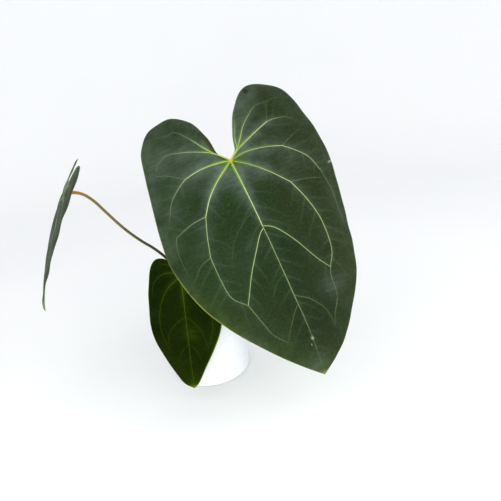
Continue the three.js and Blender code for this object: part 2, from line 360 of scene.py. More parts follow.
def curve(points, count, chord_power=0.0):
    """Catmull-Rom curve through the points, as count places evenly spaced along its length.

    Each span is the cubic with the two ends' slopes. The knots are apart by the chord length to
    the given power: 0 is the plain curve, and 0.5 the centripetal one.
    """
    points = np.asarray(points, float)
    ends = np.vstack([2 * points[0] - points[1], points, 2 * points[-1] - points[-2]])
    knots = np.linalg.norm(np.diff(ends, axis=0), axis=1)[:, None] ** chord_power
    a, b, c, d = ends[:-3], ends[1:-2], ends[2:-1], ends[3:]
    before, span, after = knots[:-2], knots[1:-1], knots[2:]
    leave = span * ((b - a) / before - (c - a) / (before + span) + (c - b) / span)
    arrive = span * ((c - b) / span - (d - b) / (span + after) + (d - c) / after)
    s = np.linspace(0, 1, 24, endpoint=False)[:, None]
    b, c, leave, arrive = (x[:, None] for x in (b, c, leave, arrive))
    dense = b * (2 * s**3 - 3 * s**2 + 1) + leave * (s**3 - 2 * s**2 + s)
    dense = dense + c * (3 * s**2 - 2 * s**3) + arrive * (s**3 - s**2)
    dense = np.vstack([dense.reshape(-1, points.shape[1]), points[-1:]])
    gone = np.concatenate([[0], np.cumsum(np.linalg.norm(np.diff(dense, axis=0), axis=1))])
    wanted = np.linspace(0, gone[-1], count)
    return np.stack([np.interp(wanted, gone, column) for column in dense.T], -1)


def ripple(points, size, seed):
    """Smooth uneven field from about -1 to 1 whose lumps have about the given size.

    It is the sum of plane waves in seeded directions, over the root of their number.
    """
    draw = np.random.default_rng(seed)
    waves = 14
    ways = unit(draw.normal(size=(waves, points.shape[-1])))
    ways = ways * (2 * math.pi / size) * draw.uniform(0.6, 1.6, (waves, 1))
    return np.sin(points @ ways.T + draw.uniform(0, 2 * math.pi, waves)).sum(-1) / math.sqrt(waves)


def skin(rings, start, end):
    """Closed skin over rings of points, drawn together to a start and an end point.

    rings has the shape (rings, around, 3), and each ring runs by the right hand about the way to the end.
    """
    count, around = rings.shape[:2]
    ring, step = np.meshgrid(np.arange(count - 1), np.arange(around), indexing="ij")
    here = 1 + ring * around + step
    beside = 1 + ring * around + (step + 1) % around
    quads = np.stack([here, beside, beside + around, here + around], -1).reshape(-1, 4)
    first = 1 + np.arange(around)
    after = 1 + (np.arange(around) + 1) % around
    outer = (count - 1) * around
    last = np.full(around, 1 + count * around)
    fans = np.vstack([
        np.stack([first * 0, after, first], -1),
        np.stack([last, first + outer, after + outer], -1),
    ])
    points = np.vstack([np.reshape(start, (1, 3)), rings.reshape(-1, 3), np.reshape(end, (1, 3))])
    return points, quads.tolist() + fans.tolist()


def ringed(values, start, end):
    """A value for each corner of a skin, from one for each point of its rings and one for each end."""
    return np.concatenate([[start], np.ravel(values), [end]])


def turned_profile(profile, around):
    """Rings of a solid of revolution: a profile's points between its two ends, carried round +Z.

    The ends lie on the axis. The profile runs from the underside outwards and up, and the rings turn
    the way that points the faces out.
    """
    radius, height = (np.asarray(profile, float)[1:-1, column, None] for column in (0, 1))
    turn = -turns(around)
    return np.stack([radius * np.cos(turn), radius * np.sin(turn), height + 0 * turn], -1)


def limb(path, radius, around):
    """Rings round a path, each starting at its back. The radius is a number, or has a row for each ring."""
    along = unit(np.gradient(path, axis=0))
    towards = unit(BACK - (along @ BACK)[:, None] * along)
    beside = np.cross(along, towards)
    turn = turns(around)[None, :, None]
    across = np.cos(turn) * towards[:, None] + np.sin(turn) * beside[:, None]
    return path[:, None] + np.broadcast_to(radius, (len(path), around))[..., None] * across


def rounded(count, share):
    """Scale of each ring along a limb that rounds off both ends as quarter circles over the given share."""
    along = np.linspace(0, 1, count)
    near = np.clip(np.minimum(along, 1 - along) / share, 0.02, 1)
    return np.sqrt(1 - (1 - near) ** 2)[:, None]


def joined(parts):
    """Several (points, faces, values) as one. values is a dict of arrays with a row for each point."""
    points, faces, shift = [], [], 0
    for part in parts:
        points.append(part[0])
        faces.extend([[corner + shift for corner in face] for face in part[1]])
        shift += len(part[0])
    values = {key: np.concatenate([part[2][key] for part in parts]) for key in parts[0][2]}
    return np.vstack(points), faces, values


def placed(name, data):
    """Object for a mesh, a lamp or a camera, linked into the scene."""
    made = bpy.data.objects.new(name, data)
    bpy.context.collection.objects.link(made)
    return made


def meshed(name, points, faces, finish, smooth=True):
    """Mesh of points in millimetres, with its one finish."""
    mesh = bpy.data.meshes.new(name)
    mesh.from_pydata((points * MM).tolist(), [], faces)
    mesh.polygons.foreach_set("use_smooth", np.full(len(faces), smooth))
    mesh.materials.append(finish)
    return mesh


def piece(name, part, finish, node, smooth=True):
    """Object for one (points, faces, values), riding on the plant's body and standing for a CAD node."""
    points, faces, values = part
    mesh = meshed(name, points, faces, finish, smooth)
    for key, value in values.items():
        if key == "leaf":
            corner = np.empty(len(mesh.loops), int)
            mesh.loops.foreach_get("vertex_index", corner)
            mesh.uv_layers.new(name=key).data.foreach_set("uv", (value[corner] * MM).ravel())
        else:
            layer = mesh.attributes.new(key, "FLOAT", "POINT")
            layer.data.foreach_set("value", np.asarray(value, np.float32))
    mesh.update()
    made = placed(name, mesh)
    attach(made, "root")
    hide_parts(node)


# Finishes

def paint(colour):
    """Linear colour of a hex sRGB string."""
    parts = np.array([int(colour[i:i + 2], 16) for i in (0, 2, 4)]) / 255
    linear = np.where(parts <= 0.04045, parts / 12.92, ((parts + 0.055) / 1.055) ** 2.4)
    return (*linear.tolist(), 1.0)


class Finish:
    """A procedural finish. Each method adds one or more nodes and returns the last one's output."""

    def __init__(self, name, **even):
        self.material = bpy.data.materials.new(name)
        self.material.use_nodes = True
        self.tree = self.material.node_tree
        self.shader = self.tree.nodes["Principled BSDF"]
        for socket, value in even.items():
            self.shader.inputs[socket.replace("_", " ")].default_value = value

    def node(self, kind, inputs, **settings):
        """A node with its settings, and its inputs from sockets or plain values."""
        made = self.tree.nodes.new(f"ShaderNode{kind}")
        for key, value in settings.items():
            setattr(made, key, value)
        for key, value in inputs.items():
            if isinstance(value, bpy.types.NodeSocket):
                self.tree.links.new(value, made.inputs[key])
            else:
                made.inputs[key].default_value = value
        return made

    def place(self):
        """Object coordinates in metres."""
        return self.node("TexCoord", {}).outputs["Object"]

    def leaf_place(self):
        """Distance across and down the leaf in metres, from its UV map."""
        return self.node("UVMap", {}, uv_map="leaf").outputs["UV"]

    def value(self, name):
        """An attribute of the mesh."""
        return self.node("Attribute", {}, attribute_name=name).outputs["Fac"]

    def stretched(self, vector, across, down, up=1.0, turn=0.0):
        """The vector with its parts scaled, after a turn in degrees about the third."""
        inputs = {"Vector": vector, "Scale": (across, down, up), "Rotation": (0, 0, math.radians(turn))}
        return self.node("Mapping", inputs).outputs["Vector"]

    def noise(self, vector, size, detail, rough=0.55):
        """Cloudy noise from 0 to 1 whose features have the given size in millimetres."""
        inputs = {"Vector": vector, "Scale": 1 / (size * MM), "Detail": detail, "Roughness": rough}
        return self.node("TexNoise", inputs).outputs["Fac"]

    def shaken(self, vector, size, reach):
        """The vector moved unevenly by up to about the given reach in millimetres."""
        inputs = {"Vector": vector, "Scale": 1 / (size * MM), "Detail": 2.0}
        colour = self.node("TexNoise", inputs).outputs["Color"]
        centred = self.node("VectorMath", {0: colour, 1: (0.5, 0.5, 0.5)}, operation="SUBTRACT")
        inputs = {0: centred.outputs[0], "Scale": 2 * reach * MM}
        scaled = self.node("VectorMath", inputs, operation="SCALE")
        return self.node("VectorMath", {0: vector, 1: scaled.outputs[0]}, operation="ADD").outputs[0]

    def net(self, vector, size, line):
        """Lines between cells of the given size: 1 on a line, 0 past its width, a share of the size."""
        inputs = {"Vector": vector, "Scale": 1 / (size * MM)}
        cells = self.node("TexVoronoi", inputs, feature="DISTANCE_TO_EDGE")
        return self.span(cells.outputs["Distance"], 0.0, line, 1.0, 0.0)

    def dots(self, vector, size, reach):
        """Round dots, one to a cell of the given size: 1 in a dot's middle, 0 past its reach."""
        cells = self.node("TexVoronoi", {"Vector": vector, "Scale": 1 / (size * MM)})
        return self.span(cells.outputs["Distance"], 0.0, reach, 1.0, 0.0)

    def span(self, value, low, high, to_low=0.0, to_high=1.0):
        """The value carried smoothly from one range to another, and held at its ends."""
        inputs = {"Value": value, "From Min": low, "From Max": high, "To Min": to_low, "To Max": to_high}
        return self.node("MapRange", inputs, interpolation_type="SMOOTHSTEP").outputs["Result"]

    def times(self, first, second):
        """The product of two numbers."""
        return self.node("Math", {0: first, 1: second}, operation="MULTIPLY").outputs[0]

    def plus(self, first, second):
        """The sum of two numbers."""
        return self.node("Math", {0: first, 1: second}, operation="ADD").outputs[0]

    def blend(self, share, first, second):
        """Two colours mixed by a share. Each is a hex paint or an output."""
        first, second = (paint(colour) if isinstance(colour, str) else colour for colour in (first, second))
        return self.node("Mix", {0: share, 6: first, 7: second}, data_type="RGBA").outputs[2]

    def layered(self, colour, *layers):
        """The colour under layers, laid on in turn. Each is a share and the colour that it brings in."""
        for share, above in layers:
            colour = self.blend(share, colour, above)
        return colour

    def bump(self, height, depth, under=None):
        """Relief of the given depth in millimetres, on top of another one if there is one."""
        inputs = {"Height": height, "Distance": depth * MM, "Strength": 1.0}
        if under is not None:
            inputs["Normal"] = under
        return self.node("Bump", inputs).outputs["Normal"]

    def done(self, colour, roughness=None, relief=None):
        """Connects the colour, and the roughness and relief if they vary."""
        for socket, output in (("Base Color", colour), ("Roughness", roughness), ("Normal", relief)):
            if output is not None:
                self.tree.links.new(output, self.shader.inputs[socket])
        return self.material


def blade_finish(name, look):
    """Satin blade: the upper side is dark between the veins and paler by the margin, with faint veinlets.

    The paler margin is painted sheen. It is greyer beside the main veins near the junction, with painted
    sheen, and carries patches of painted sheen and of painted shade, painted shadow along the veins near
    the junction, a yellow-olive paint by the veins that is painted shade on their outer side, and on the
    big leaf painted shade along the left lobe's inner edge. It is fresh green right under the junction, and
    the underside is paler. The look names its paints.
    """
    made = Finish(name, Specular_IOR_Level=look["specular"])
    value, times, span = made.value, made.times, made.span
    leaf = made.leaf_place()
    clouds = made.noise(leaf, 38, 4.0)
    grain = made.noise(leaf, 4, 5.0, 0.7)
    fine = made.noise(leaf, 1.6, 3.0)
    uneven = span(made.noise(leaf, 22, 3.0), 0.3, 0.68, 0.35, 1.0)
    veinlets = made.net(made.stretched(made.shaken(leaf, 14, 2.5), 1.0, 1.35), 9.0, 0.1)
    hair_veins = made.net(made.shaken(leaf, 5, 0.8), 3.0, 0.14)
    streaks = made.noise(made.stretched(leaf, 0.25, 2.6, turn=24), 9, 3.0)
    # Streaky flecks that carry painted sheen
    scuffs_and_sheen_flecks = made.noise(made.stretched(made.shaken(leaf, 12, 6), 0.6, 1.4, turn=24), 4, 4.0, 0.7)
    # Share of the greyer satin tone: random clouds, and painted sheen low down and to the right
    ruddy = made.plus(times(span(clouds, 0.3, 0.7), 0.35), value("ruddy"))
    # Painted sheen by the margin, from fresh green to a greyish sheen paint
    sheen_by_margin = made.blend(value("grey"), look["fresh"], look["margin_sheen"])
    upper = made.layered(
        made.blend(ruddy, look["deep"], look["satin"]),
        (span(grain, 0.5, 0.75, 0.0, 0.42), look["fresh"]),
        (span(grain, 0.45, 0.25, 0.0, 0.6), look["shade"]),
        (times(value("margin"), uneven), sheen_by_margin),
        (span(fine, 0.6, 0.3, 0.0, 0.3), look["shade"]),
        # Painted sheen on the sheen patches and beside the main veins, painted shade on the shade patches
        (times(value("bloom_patch"), span(streaks, 0.25, 0.7, 0.3, 0.9)), look["sheen_paint"]),
        (times(value("band"), uneven), look["sheen_paint"]),
        (value("shade_patch"), look["shade"]),
        (times(value("groove"), 0.6), look["wedge"]),
        # Painted shadow along the veins near the junction
        (times(value("gutter"), 0.55), look["deep"]),
        (times(value("ladder"), 0.26), look["line"]),
        (span(streaks, 0.52, 0.75, 0.0, 0.12), look["fresh"]),
        # Painted sheen in streaky flecks where the greyish share is high
        (times(value("grey"), span(scuffs_and_sheen_flecks, 0.5, 0.75, 0.0, 0.12)), look["sheen_paint"]),
        (times(veinlets, 0.07), look["line"]),
        (times(hair_veins, 0.05), look["line"]),
        # Yellow-olive by the veins, painted shade on their outer side, then the rim with its painted
        # highlight
        (value("halo"), look["halo"]),
        (value("rim"), look["rim"]),
        # Painted shade along the big leaf's left lobe inner edge
        (value("rolled"), "303408"),
        (value("pale_mark"), "b9c4a8"),
        (value("dark_mark"), "1f2606"),
    )
    under = made.layered(
        made.blend(span(fine, 0.2, 0.8), "5d7a49", "6c8a55"),
        (times(veinlets, 0.35), "86a066"),
    )
    relief = made.bump(fine, 0.05, made.bump(hair_veins, -0.1, made.bump(veinlets, -0.25)))
    return made.done(made.blend(value("upper"), under, upper), span(clouds, 0.2, 0.8, 0.42, 0.54), relief)


def vein_finish(name, faint, dusty, bright, lime, specular):
    """Vein that fades through a dusty tone into the blade where it is faint, lime near the junction."""
    made = Finish(name, Roughness=0.42, Specular_IOR_Level=specular)
    strength = made.value("strength")
    fine = made.noise(made.place(), 3, 3.0)
    prominent = made.blend(made.span(strength, 0.15, 0.6), dusty, bright)
    colour = made.layered(
        made.blend(made.span(strength, 0.02, 0.85), faint, prominent),
        (made.span(fine, 0.3, 0.8, 0.0, 0.2), "6f9a3c"),
        (made.value("near"), lime),
        (made.value("knot"), "c2a23c"),
    )
    return made.done(colour, None, made.bump(fine, 0.1))


def petiole_finish():
    """Olive stalk with fine ribs and pale specks, paler at its foot and orange-tan at its swollen end."""
    made = Finish("petiole_skin", Specular_IOR_Level=0.18)
    place = made.place()
    along = made.value("along")
    fine = made.noise(place, 2.2, 4.0)
    patches = made.noise(place, 26, 3.0)
    specks = made.dots(place, 2.6, 0.16)
    colour = made.layered(
        made.blend(made.span(patches, 0.3, 0.7), "272a11", "322b13"),
        (made.span(fine, 0.35, 0.75, 0.0, 0.35), "2a2a14"),
        (made.span(along, 0.45, 0.72, 0.0, 0.75), "78662a"),
        (made.times(made.value("rib"), 0.25), "6f7340"),
        (made.times(specks, 0.4), "a3a377"),
        (made.span(along, 0.12, 0.0), "8c9160"),
        (made.span(along, 0.82, 0.92), "a4743a"),
    )
    return made.done(colour, made.span(fine, 0.2, 0.8, 0.38, 0.56), made.bump(fine, 0.25))


def stem_finish():
    """Corky skin between green and brown, with paler leaf scars."""
    made = Finish("stem_skin", Specular_IOR_Level=0.3)
    place = made.place()
    rough_patches = made.noise(place, 5, 6.0, 0.65)
    cork = made.noise(made.stretched(place, 1, 1, 2.5), 2, 4.0)
    colour = made.layered(
        made.blend(made.span(rough_patches, 0.35, 0.65), "5a6136", "6b5230"),
        (made.span(cork, 0.45, 0.8, 0.0, 0.7), "39301d"),
        (made.value("scar"), "a08b63"),
    )
    relief = made.bump(cork, 0.8, made.bump(rough_patches, 1.2))
    return made.done(colour, made.span(cork, 0.2, 0.8, 0.6, 0.85), relief)


def bud_finish():
    """Rolled young leaf, reddish bronze at its edge and green at its back."""
    made = Finish("bud_skin", Specular_IOR_Level=0.5)
    place = made.place()
    fibres = made.noise(made.stretched(place, 1, 1, 0.12), 0.9, 3.0)
    colour = made.layered(
        made.blend(made.span(made.noise(place, 9, 2.0), 0.35, 0.65), "7f8f3f", "8f6a3a"),
        (made.times(made.value("edge"), 0.8), "7a3a26"),
        (made.span(fibres, 0.5, 0.8, 0.0, 0.4), "55602a"),
    )
    return made.done(colour, made.span(fibres, 0.2, 0.8, 0.32, 0.46), made.bump(fibres, 0.2))


def sheath_finish():
    """Dry papery sheath: fibres run up it between thin tan skin, darker low down."""
    made = Finish("dry_sheath_skin", Specular_IOR_Level=0.25)
    place = made.place()
    fibres = made.noise(made.stretched(place, 1, 1, 0.06), 0.8, 4.0, 0.6)
    patches = made.noise(place, 7, 4.0)
    colour = made.layered(
        made.blend(made.span(fibres, 0.38, 0.62), "5c3d20", "b08a55"),
        (made.span(patches, 0.45, 0.75, 0.0, 0.6), "7d5a34"),
        (made.span(made.value("along"), 0.35, 0.0), "3f2a17"),
    )
    return made.done(colour, made.span(patches, 0.2, 0.8, 0.7, 0.9), made.bump(fibres, 0.5))


def root_finish():
    """Silvery velvet root with brown scuffs."""
    made = Finish("aerial_root_skin", Specular_IOR_Level=0.2, Sheen_Weight=0.25, Sheen_Roughness=0.6)
    place = made.place()
    felt = made.noise(place, 0.7, 4.0)
    scuffs_and_sheen_flecks = made.noise(place, 6, 4.0)
    colour = made.layered(
        made.blend(made.span(felt, 0.3, 0.7), "a8a58c", "c4bfa6"),
        (made.span(scuffs_and_sheen_flecks, 0.52, 0.7), "7b5c3b"),
    )
    return made.done(colour, made.span(felt, 0.2, 0.8, 0.8, 0.95), made.bump(felt, 0.25))


def glaze_finish():
    """White glaze with the faintest orange-peel, a warm bare foot ring and a faint tide mark inside."""
    made = Finish("white_glaze", Specular_IOR_Level=0.5, Coat_Weight=0.25, Coat_Roughness=0.08)
    span, times = made.span, made.times
    place = made.place()
    peel = made.noise(place, 7, 2.0)
    grain = made.noise(place, 1.1, 4.0)
    height = made.node("SeparateXYZ", {"Vector": place}).outputs["Z"]
    tide = times(made.value("inside"), span(height, (MIX_EDGE + 11) * MM, (MIX_EDGE + 2) * MM))
    colour = made.layered(
        made.blend(span(peel, 0.3, 0.7), "dcdee3", "dfe1e5"),
        (times(made.dots(place, 9, 0.035), 0.3), "c9c3b8"),
        (times(span(height, 0.0012, 0.0004), span(grain, 0.1, 0.9, 0.85, 1.0)), "cfc4b2"),
        (times(tide, span(grain, 0.2, 0.8, 0.2, 0.7)), "b7a98f"),
    )
    relief = made.bump(peel, 0.12, made.bump(grain, 0.02))
    return made.done(colour, span(peel, 0.2, 0.8, 0.2, 0.27), relief)


def mix_finish():
    """Damp dark peat with paler fibres and crumbs."""
    made = Finish("peat", Specular_IOR_Level=0.25)
    place = made.place()
    crumbs = made.noise(place, 2.2, 6.0, 0.7)
    patches = made.noise(place, 18, 3.0)
    fibres = made.net(made.shaken(made.stretched(place, 1, 0.35, 1), 6, 3), 3.2, 0.08)
    colour = made.layered(
        made.blend(made.span(crumbs, 0.35, 0.7), "1d130c", "4a3421"),
        (made.span(patches, 0.4, 0.7, 0.0, 0.5), "33241a"),
        (made.times(fibres, 0.5), "7d6040"),
    )
    return made.done(colour, made.span(crumbs, 0.2, 0.8, 0.78, 0.97), made.bump(crumbs, 1.4))


def bit_finish(name, dark, light, grain_size, roughness):
    """Loose bits of the mix, each with its own tone between two colours, and with grain."""
    made = Finish(name, Specular_IOR_Level=0.3)
    grain = made.noise(made.stretched(made.place(), 1, 0.5, 1.6), grain_size, 5.0, 0.65)
    colour = made.layered(
        made.blend(made.value("tone"), dark, light),
        (made.span(grain, 0.4, 0.75, 0.0, 0.6), dark),
    )
    gloss = made.span(grain, 0.2, 0.8, roughness - 0.08, roughness + 0.05)
    return made.done(colour, gloss, made.bump(grain, 0.6))


# Leaves

def scale_of(leaf):
    """A leaf's size as a share of the big leaf's."""
    return leaf["length"] / BIG_LENGTH


def blade_frame(leaf, down):
    """The midrib's place, and the ways across the blade and out of its upper face, at distances down it.

    The lean from straight down changes evenly, so the midrib is an arc: it goes out by
    (cos lean0 - cos lean) / rate and falls by (sin lean - sin lean0) / rate. Above the junction it
    is straight. The twist turns both ways about the midrib.
    """
    azimuth = math.radians(leaf["azimuth"])
    lean0, lean1 = np.radians(leaf["lean"])
    share = np.clip(down / leaf["length"], 0, 1)
    lean = (lean0 + (lean1 - lean0) * share)[..., None]
    twist = np.radians(np.interp(share, (0, 1), leaf["twist"]))[..., None]
    rate = (lean1 - lean0) / leaf["length"]
    above = (down < 0)[..., None]
    straight = down[..., None]
    out = np.where(above, straight * np.sin(lean0), (np.cos(lean0) - np.cos(lean)) / rate)
    fall = np.where(above, straight * np.cos(lean0), (np.sin(lean) - np.sin(lean0)) / rate)
    away = np.array([math.sin(azimuth), -math.cos(azimuth), 0])
    side = np.array([math.cos(azimuth), math.sin(azimuth), 0])
    face = np.cos(lean) * away + np.sin(lean) * UP
    place = np.array(leaf["junction"]) + out * away - fall * UP
    return place, np.cos(twist) * side + np.sin(twist) * face, np.cos(twist) * face - np.sin(twist) * side


def vein_course(vein, step):
    """Places a step apart along a vein, and its prominence there, which changes evenly along it."""
    start, end, points = vein
    length = np.linalg.norm(np.diff(np.asarray(points, float), axis=0), axis=1).sum()
    course = curve(points, max(8, int(length / step)), 0.5)
    return course, np.linspace(start, end, len(course))


def nearest_on(course, places):
    """For each place, the distance to a course, which of its points is nearest, and on which side it lies.

    The nearest point c has the least c.c - 2 p.c for a place p. The distance is then measured from the
    point slid along the course by up to half a step.
    """
    course, places = course.astype(np.float32), places.astype(np.float32)
    nearest = ((course**2).sum(-1) - 2 * places @ course.T).argmin(1)
    steps = np.gradient(course, axis=0)
    step = np.linalg.norm(steps, axis=1)[nearest]
    along = unit(steps)[nearest]
    offset = places - course[nearest]
    slide = np.clip((offset * along).sum(-1), -step / 2, step / 2)
    side = np.sign(along[:, 0] * offset[:, 1] - along[:, 1] * offset[:, 0])
    return np.linalg.norm(offset - slide[:, None] * along, axis=1), nearest, side


def vein_fields(leaf, down, across):
    """What the veins do to each place of a blade: how far it puffs up, and how near it is to them.

    Each vein holds the blade down by its prominence times exp(-(distance / width)^2), and the
    puff is the product of what is left. The others are the strongest of the veins' bells: a yellow-olive
    paint right on the vein and a little more on its side away from the midrib, where it is painted shade on
    the raised vein's side; painted sheen beside it, strongest a little way from the junction; and painted
    shadow as a thin line along each side of it. The groove is the wedge round the junction.
    """
    places = np.stack([down, across], -1).reshape(-1, 2)
    scale = scale_of(leaf)
    reach = np.hypot(places[:, 0], places[:, 1]) / scale
    near_junction = bell(reach, BAND_REACH) * (1 - 0.8 * bell(reach, BAND_START))
    halo_width = 1.6 + 0.7 * bell(reach, 40)
    puff, halo, band, gutter = (np.ones(len(places)), *np.zeros((3, len(places))))
    for vein in leaf["veins"]:
        course, strength = vein_course(vein, 3.0)
        distance, nearest, side = nearest_on(course, places)
        held = np.minimum(strength[nearest], 1)
        outwards = distance * side * (1 if course[:, 1].mean() > 1 else -1)
        puff = puff * (1 - 0.9 * held * bell(distance, QUILT_WIDTH * scale))
        halo = np.maximum(halo, held * bell(outwards - HALO_SHIFT, halo_width))
        gutter = np.maximum(gutter, held * bell(distance - GUTTER_PLACE, GUTTER_WIDTH))
        band = np.maximum(band, held * bell(distance, BAND_WIDTH * scale, 1.5))
    fields = {
        "puff": puff,
        "halo": halo * (0.15 + 0.78 * bell(reach, HALO_REACH)),
        "band": band * (0.14 + 0.8 * near_junction),
        "gutter": gutter * bell(reach, GUTTER_REACH),
        "groove": bell(reach, GROOVE_REACH),
    }
    return {key: value.reshape(np.shape(down)) for key, value in fields.items()}


def inside(outline, places):
    """Whether each place is inside a closed outline: a ray from it crosses that an odd number of times."""
    first, second = outline, np.roll(outline, -1, axis=0)
    x, y = places[..., 0, None], places[..., 1, None]
    straddles = (first[:, 0] > x) != (second[:, 0] > x)
    run = np.where(first[:, 0] == second[:, 0], 1e-9, second[:, 0] - first[:, 0])
    crossing = first[:, 1] + (x - first[:, 0]) * (second[:, 1] - first[:, 1]) / run
    return (straddles & (y < crossing)).sum(-1) % 2 == 1


def outline_of(leaf):
    """The closed margin as (down, across), from the notch down the left side and up the right."""
    left, right = (curve(leaf[side], 160)[:, ::-1] for side in ("left", "right"))
    return np.vstack([left, right[::-1]])


def margin_distance(leaf, down, across):
    """Distance from each place of a blade to its margin."""
    places = np.stack([down, across], -1)
    return nearest_on(outline_of(leaf), places.reshape(-1, 2))[0].reshape(np.shape(down))


def margin_lift(leaf, down, across):
    """How the blade lies by its margin: the share of the puff left, and a wave that dies away inwards.

    With d the distance to the margin, the share is 1 - 0.75 exp(-(d / 5)^2) and the wave is an uneven
    ripple times exp(-(d / 16)^2).
    """
    scale = scale_of(leaf)
    distance = margin_distance(leaf, down, across) / scale
    from_ends = ramp(np.minimum(np.hypot(down, across), leaf["length"] - down), 0, 25 * scale)
    wave = WAVE_HEIGHT * scale * ripple(np.stack([down, across], -1), WAVE_LENGTH, 3) * from_ends
    return 1 - 0.75 * bell(distance, 5), wave * bell(distance, 16)


def veinlets(leaf, spacing, seed):
    """Fine veins that leave the main ones slantwise on both sides.

    Each starts at an uneven spacing along its vein, sets out 52 to 66 degrees from the vein's way,
    bends evenly as it goes, and stops short of the next vein or of the margin. The shortest ones and
    those too close to another are left out. Lengths are counted in steps.
    """
    draw = np.random.default_rng(seed)
    step, shortest, longest, clearance = 1.5, 7, 40, 2.5
    outline = outline_of(leaf)
    courses = [vein_course(vein, step)[0] for vein in leaf["veins"]]
    owner = np.repeat(np.arange(len(courses)), [len(course) for course in courses])
    others = np.vstack(courses)
    gone = np.arange(1, longest) * step
    found = []
    for own, course in enumerate(courses):
        if leaf["veins"][own][0] <= MAIN_PROMINENCE:
            continue
        heading = np.arctan2(*np.gradient(course, axis=0).T[::-1])
        rest = others[owner != own][::2]
        for side in (-1, 1):
            starts = np.arange(8, len(course) - 4, spacing / step)
            count = len(starts)
            starts = np.clip(starts + draw.normal(0, 1.5, count), 4, len(course) - 3).astype(int)
            turn = heading[starts] + side * np.radians(draw.uniform(52, 66, count))
            bend = -side * draw.uniform(0.002, 0.007, count)
            wander = 0.05 * np.sin(gone / 7 + draw.uniform(0, 6, (count, 1)))
            angles = turn[:, None] + bend[:, None] * gone + wander
            steps = np.stack([np.cos(angles), np.sin(angles)], -1) * step
            paths = course[starts][:, None] + np.cumsum(steps, 1)
            near = np.linalg.norm(paths[:, :, None] - rest, axis=-1).min(-1)
            stopped = (near < clearance) | ~inside(outline, paths)
            stopped[:, -1] = True
            lasts = np.minimum(draw.integers(longest // 2, longest, count), stopped.argmax(1))
            for path, start, last in zip(paths, course[starts], lasts):
                gaps = (np.linalg.norm(other - path[last // 2], axis=1).min() for _, _, other in found)
                if last >= shortest and min(gaps, default=math.inf) > 0.45 * spacing:
                    found.append((FINE_PROMINENCE, 0.0, np.vstack([start, path[2:last:3]])))
    return found


def veinlet_field(fine, down, across):
    """How near each place is to a fine vein: exp(-(distance / 1.5)^2), fading from 1 to 0.1 along it."""
    places = np.stack([down, across], -1).reshape(-1, 2)
    field = np.zeros(len(places))
    for vein in fine:
        course, _ = vein_course(vein, 3.0)
        close = np.flatnonzero(((places > course.min(0) - 5) & (places < course.max(0) + 5)).all(-1))
        distance, nearest, _ = nearest_on(course, places[close])
        fading = np.linspace(1, 0.1, len(course))[nearest]
        field[close] = np.maximum(field[close], fading * bell(distance, 1.5))
    return field.reshape(np.shape(down))


def marked(spots, down, across):
    """A kind of mark at each place: the most of strength * exp(-(distance / radius)^2) over its spots."""
    found = np.zeros(np.shape(down))
    for spot_down, spot_across, radius, strength in spots:
        distance = np.hypot(down - spot_down, across - spot_across)
        found = np.maximum(found, strength * bell(distance, radius))
    return found


def blade_rise(leaf, down, across, puff):
    """How far the middle of the blade's thickness stands out of the flat leaf.

    It is the fold at the midrib, less the droop of the sides and lobes, and then the puff between the
    veins and the wave by the margin.
    """
    length = leaf["length"]
    fold = FOLD_RISE * length * (1 - np.exp(-np.abs(across) / (FOLD_WIDTH * length)))
    droop = SIDE_DROOP * across**2 / length
    lobes = LOBE_DROOP * np.minimum(down, 0) ** 2 / length
    share, wave = margin_lift(leaf, down, across)
    return fold - droop - lobes + QUILT_RISE * scale_of(leaf) * puff * share + wave


def on_blade(leaf, down, across, lift):
    """Place at a distance above the flat leaf, and the direction out of the upper face there."""
    place, side, up = blade_frame(leaf, down)
    return place + side * across[..., None] + up * lift[..., None], up


def blade_grid(leaf):
    """Corners of a blade's surface, as rings from the right margin over the top to the left and back below.

    A ring is a line from the point of the midrib at length u^2.2 down it to the point of each margin
    at u of its length. Near the notch the lines swing out into the lobes. reach goes from 1 at the
    right margin to -1 at the left, and face is 1 above and -1 below.
    """
    length, count = leaf["length"], leaf["rings"]
    top, under = leaf["columns"]
    near = np.array([1, 0.9985, 0.995, 0.985])
    over = np.concatenate([near, np.linspace(0.97, -0.97, top), -near[:0:-1]])
    back = np.concatenate([-near, np.linspace(-0.97, 0.97, under), near[:0:-1]])
    reach = np.concatenate([over, back])[None]
    face = np.concatenate([np.ones(len(over)), -np.ones(len(back))])[None]
    u = np.linspace(0, 1, count + 2)[1:-1, None]
    left, right = (curve(leaf[side], count + 2)[1:-1, None] for side in ("left", "right"))
    share = np.abs(reach)
    margin = np.where((reach < 0)[..., None], left, right)
    swing = 0.2 * length * share * (1 - share) * bell(u - 0.12, 0.09) * np.sign(reach)
    across = margin[..., 0] * share + swing
    down = length * u**2.2 * (1 - share) + margin[..., 1] * share
    return u, reach, face, down, across


